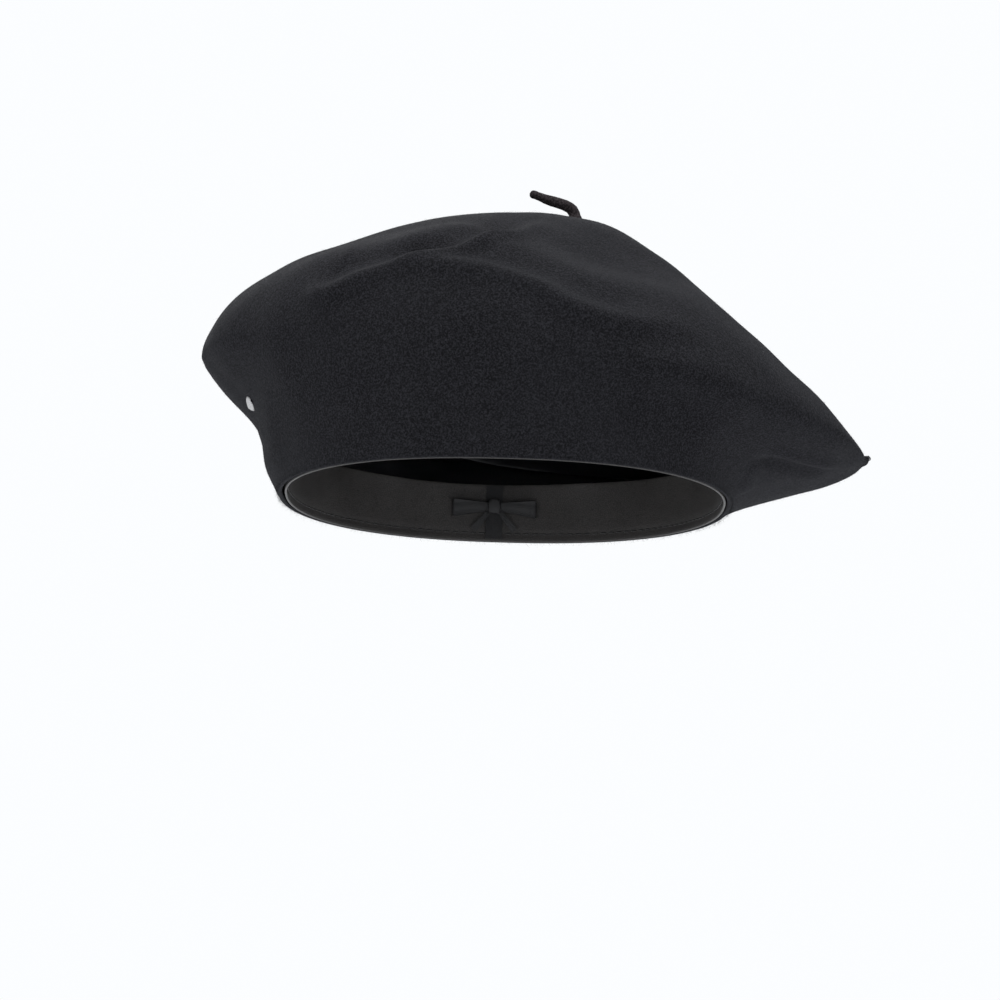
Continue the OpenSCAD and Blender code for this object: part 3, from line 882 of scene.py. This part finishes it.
def lining_grid(heading, rows):
    """The lining's outer face: under the felt at a depth that narrows at the disc's edge, with soft
    wrinkles that run from the sweatband out to the seam, and small puckers beside the seam."""
    p, n = felt_grid(heading, rows)
    t = rows[:, None]
    near_edge = np.exp(-(((t - 1.0) / 0.22) ** 2))
    depth = FELT_T + 2.6 - 1.6 * near_edge
    h = heading[None]
    wrinkle = 0.5 + 0.5 * np.sin(23 * h + 2.2 * np.sin(3 * h) + 1.5 * t) * np.cos(11 * h - 1.0)
    fold = 0.9 * wrinkle * np.clip((t - 0.15) * 2, 0, 1) * np.clip((1.95 - t) * 1.6, 0, 1)
    pucker = 0.35 * np.sin(150 * h) * np.exp(-(((t - SEAM_ROW) / 0.035) ** 2))
    shut = 2.2 * np.exp(-(((2 - t) / 0.05) ** 2))
    return p - (depth + fold * (1 - 0.5 * near_edge) + pucker + shut)[..., None] * n, n


class BERET_OT_lining(bpy.types.Operator):
    """Builds the satin lining's side and tip, the seam between them and the closed centre"""

    bl_idname = "beret.lining"
    bl_label = "Lining"

    def execute(self, context):
        g = context.scene.beret_inside
        satin = woven("lining_satin", g.satin, 2.6, 0.5, 0.32, 0.12, 0.5)
        heading = np.arange(360) * TURN / 360
        start = along_compass(LINING_FROM, heading)
        full = np.concatenate([np.linspace(0, 1, 40), 1 + np.linspace(0, SEAM_ROW - 1, 16)[1:]])
        p, n = lining_grid(heading, full)
        share = np.linspace(0, 1, 44)
        row = start[None] + (SEAM_ROW - start[None]) * share[:, None]
        at = np.interp(row.ravel(), full, np.arange(len(full))).reshape(row.shape)
        k = np.minimum(at.astype(int), len(full) - 2)
        f = (at - k)[..., None]
        j = np.arange(360)[None]
        side_p = p[k, j] * (1 - f) + p[k + 1, j] * f
        side_n = -(n[k, j] * (1 - f) + n[k + 1, j] * f)
        self.cloth("lining_side_satin", side_p, side_n, satin, "lining_side")
        rows = SEAM_ROW + (1.995 - SEAM_ROW) * np.linspace(0, 1, 90) ** 0.9
        tip_p, tip_n = lining_grid(heading, rows)
        centre = tip_p[-1].mean(0)
        close = np.linspace(0, 0.96, 6)[1:, None, None]
        tip_p = np.concatenate([tip_p, tip_p[-1:] * (1 - close) + centre * close])
        tip_n = np.concatenate([tip_n, np.repeat(tip_n[-1:], 5, 0)])
        self.cloth("lining_tip_satin", tip_p, -tip_n, satin, "lining_tip")
        count = 260
        seam_h = np.linspace(0, TURN, count * 4, endpoint=False)
        seam_p, seam_n = lining_grid(seam_h, np.array((SEAM_ROW - 0.012, SEAM_ROW)))
        seam_path = (seam_p[1] - 0.45 * seam_n[1]).reshape(count, 4, 3)
        seam = add_object("lining_seam_thread", *tubes(seam_path, thread_radii(4, 0.22), 5))
        finish_piece(seam, twisted_thread("lining_thread", g.thread), HAT, "black_thread")
        return {"FINISHED"}

    def cloth(self, name, p, n, material, node):
        """One closed ring of satin 0.3 mm thick, facing into the beret."""
        verts, faces = sheet_solid(p, n, 0.3, close_columns=True)
        run = np.linalg.norm(np.diff(p, axis=0, prepend=p[:1]), axis=-1).cumsum(0)
        round_it = np.linalg.norm(np.roll(p, -1, 1) - p, axis=-1).mean(0).cumsum()
        uv = np.tile(np.dstack([np.broadcast_to(round_it, run.shape), run]), (2, 1, 1))
        cloth = add_object(name, verts, faces[:, ::-1], uv=uv)
        finish_piece(cloth, material, HAT, "lining_satin", node)


LABEL_AT, LABEL_SIZE = np.array((-12.0, 8.0, 97.0)), (52.0, 36.0)


def label_sheet(name, p, n, uv, thickness, material, body, slot, node):
    """A small piece of label cloth with cut edges, built as a sheet with a thickness."""
    verts, faces = sheet_solid(p, n, thickness)
    obj = add_object(name, verts, faces, uv=np.tile(uv, (2, 1, 1)), sharp=40)
    finish_piece(obj, material, body, slot, node)
    return obj


def label_height(x, y):
    """Height of the crown label's cloth: it hangs down in the middle, with a slight ripple."""
    w, d = LABEL_SIZE
    hang = 0.9 - 1.1 * np.cos(np.pi * x / w) * np.cos(np.pi * y / d)
    return hang - 0.15 * np.sin(x * 0.45 + 1) * np.sin(y * 0.3)


class BERET_OT_labels(bpy.types.Operator):
    """Builds the blank crown label, care label and size tab with their stitches"""

    bl_idname = "beret.labels"
    bl_label = "Labels"

    def execute(self, context):
        g = context.scene.beret_inside
        cloth = woven("label_cloth", g.label, 1.6, 0.6, 0.6, 0.5)
        satin = woven("label_satin", np.multiply(g.label, 1.2), 2.4, 0.6, 0.4, 0.2)
        thread = twisted_thread("label_thread", np.multiply(g.label, 0.55))
        w, d = LABEL_SIZE
        x, y = np.meshgrid(np.linspace(-w / 2, w / 2, 90), np.linspace(-d / 2, d / 2, 64))
        hemmed = 0.18 * (np.exp(-(((np.abs(x) - w / 2 + 1.6) / 0.5) ** 2))
                         + np.exp(-(((np.abs(y) - d / 2 + 1.6) / 0.5) ** 2)))
        p = LABEL_AT + np.dstack([x, y, label_height(x, y) + hemmed])
        p_n = open_normals(p)
        label_sheet("crown_label_cloth", p, p_n, np.dstack([x, y]), 0.6, cloth, HAT, "label_cloth",
                    "crown_label")
        stitches = []
        for edge, size, across in (("x", w, d), ("y", d, w)):
            number = int((size - 3.4) / 2.6)
            for side in (-1, 1):
                s = (np.arange(number)[:, None] - (number - 1) / 2 + np.linspace(-0.32, 0.32, 6)) * 2.6
                other = np.full_like(s, side * (across / 2 - 1.6))
                sx, sy = (s, other) if edge == "x" else (other, s)
                sz = label_height(sx, sy) - 0.28
                dive = 0.2 * (1 - np.sin(np.linspace(0, np.pi, 6)))
                stitches.append(LABEL_AT + np.dstack([sx, sy, sz + dive]))
        for number, paths in enumerate(stitches):
            obj = add_object("crown_label_thread_%d" % (number + 1), *tubes(paths, thread_radii(6, 0.2), 6))
            finish_piece(obj, thread, HAT, "label_thread", *(["crown_label_stitches"] if number == 0 else []))

        x, z = np.meshgrid(np.linspace(-10, 10, 40), np.linspace(0, 19, 44))
        drop = 1 - z / 19
        curl = 0.35 * np.sin(x * 0.35 + 0.5) * drop + 0.9 * drop**2
        p = band_frame(11, x * (1 - 0.01 * drop), 0.95 + curl, 4 + z)
        label_sheet("care_label_satin", p, open_normals(p), np.dstack([x, z]), 0.28, satin, CARE, "label_satin",
                    "care_label")
        x, z = np.meshgrid(np.linspace(-7, 7, 30), np.linspace(9, 21, 28))
        p = band_frame(64, x, 0.6 + 0.2 * np.cos(x * 0.22) * np.cos((z - 15) * 0.2), z)
        label_sheet("size_tab_satin", p, open_normals(p), np.dstack([x, z]), 0.3, satin, HAT, "label_satin",
                    "size_label")
        paths = []
        for side in (-1, 1):
            zz = np.arange(5)[:, None] * 2.1 + 10.2 + np.linspace(0, 1.4, 6)[None]
            paths.append(band_frame(64, np.full_like(zz, side * 5.8),
                                    0.86 + 0.12 * np.sin(np.linspace(0, np.pi, 6)) + 0 * zz, zz))
        tab = add_object("size_tab_thread", *tubes(np.concatenate(paths), thread_radii(6, 0.2), 6))
        finish_piece(tab, thread, HAT, "label_thread", "size_label_stitches")
        return {"FINISHED"}


class BERET_OT_side_mark(bpy.types.Operator):
    """Embroiders the small oval on the wearer's right: side-by-side satin stitches that lie on the felt"""

    bl_idname = "beret.side_mark"
    bl_label = "Side mark"

    def execute(self, context):
        g = context.scene.beret_inside
        middle, half_long, half_high = (np.radians(272), 0.52), 7.0, 3.0
        (p0,), _ = felt_at(np.array([middle[0]]), np.array([middle[1]]))
        (ph,), _ = felt_at(np.array([middle[0] + 0.01]), np.array([middle[1]]))
        (pt,), _ = felt_at(np.array([middle[0]]), np.array([middle[1] + 0.01]))
        per_h, per_t = np.linalg.norm(ph - p0) / 0.01, np.linalg.norm(pt - p0) / 0.01
        x = np.linspace(-0.97, 0.97, 46) * half_long
        reach = half_high * np.sqrt(1 - (x / half_long) ** 2)
        s = np.linspace(-1, 1, 12)
        xx, yy = np.broadcast_arrays(x[:, None] + 0.12 * s[None], reach[:, None] * s[None])
        p, n = felt_at(middle[0] + xx / per_h, middle[1] + yy / per_t)
        paths = p + (0.75 * np.sqrt(1 - 0.98 * s**2))[None, :, None] * n
        mark = add_object("side_mark_stitches", *tubes(paths, thread_radii(12, 0.19), 6))
        finish_piece(mark, twisted_thread("mark_thread", g.mark), HAT, "mark_thread", "side_mark")
        return {"FINISHED"}


OPERATORS = [BERET_OT_stage, BERET_OT_felt, BERET_OT_nap, BERET_OT_stalk, BERET_OT_sweatband, BERET_OT_lining,
             BERET_OT_labels, BERET_OT_side_mark]
GROUPS = {"beret_felt": FeltSettings, "beret_inside": InsideSettings, "beret_stage": StageSettings}


class BERET_PT_panel(bpy.types.Panel):
    """Lists the beret's pieces and settings"""

    bl_label = "Beret"
    bl_idname = "BERET_PT_panel"
    bl_space_type = "VIEW_3D"
    bl_region_type = "UI"
    bl_category = "Beret"

    def draw(self, context):
        for name, group in GROUPS.items():
            box = self.layout.box()
            for key in group.__annotations__:
                box.prop(getattr(context.scene, name), key)
        for operator in OPERATORS:
            self.layout.operator(operator.bl_idname)


def register():
    for cls in [*GROUPS.values(), *OPERATORS, BERET_PT_panel]:
        bpy.utils.register_class(cls)
    for name, group in GROUPS.items():
        setattr(bpy.types.Scene, name, PointerProperty(type=group))


def unregister():
    for name in GROUPS:
        delattr(bpy.types.Scene, name)
    for cls in [BERET_PT_panel, *reversed(OPERATORS), *reversed(GROUPS.values())]:
        bpy.utils.unregister_class(cls)


def main():
    """Registers the add-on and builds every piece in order."""
    register()
    for operator in OPERATORS:
        group, name = operator.bl_idname.split(".")
        getattr(getattr(bpy.ops, group), name)()


if __name__ == "__main__":
    main()
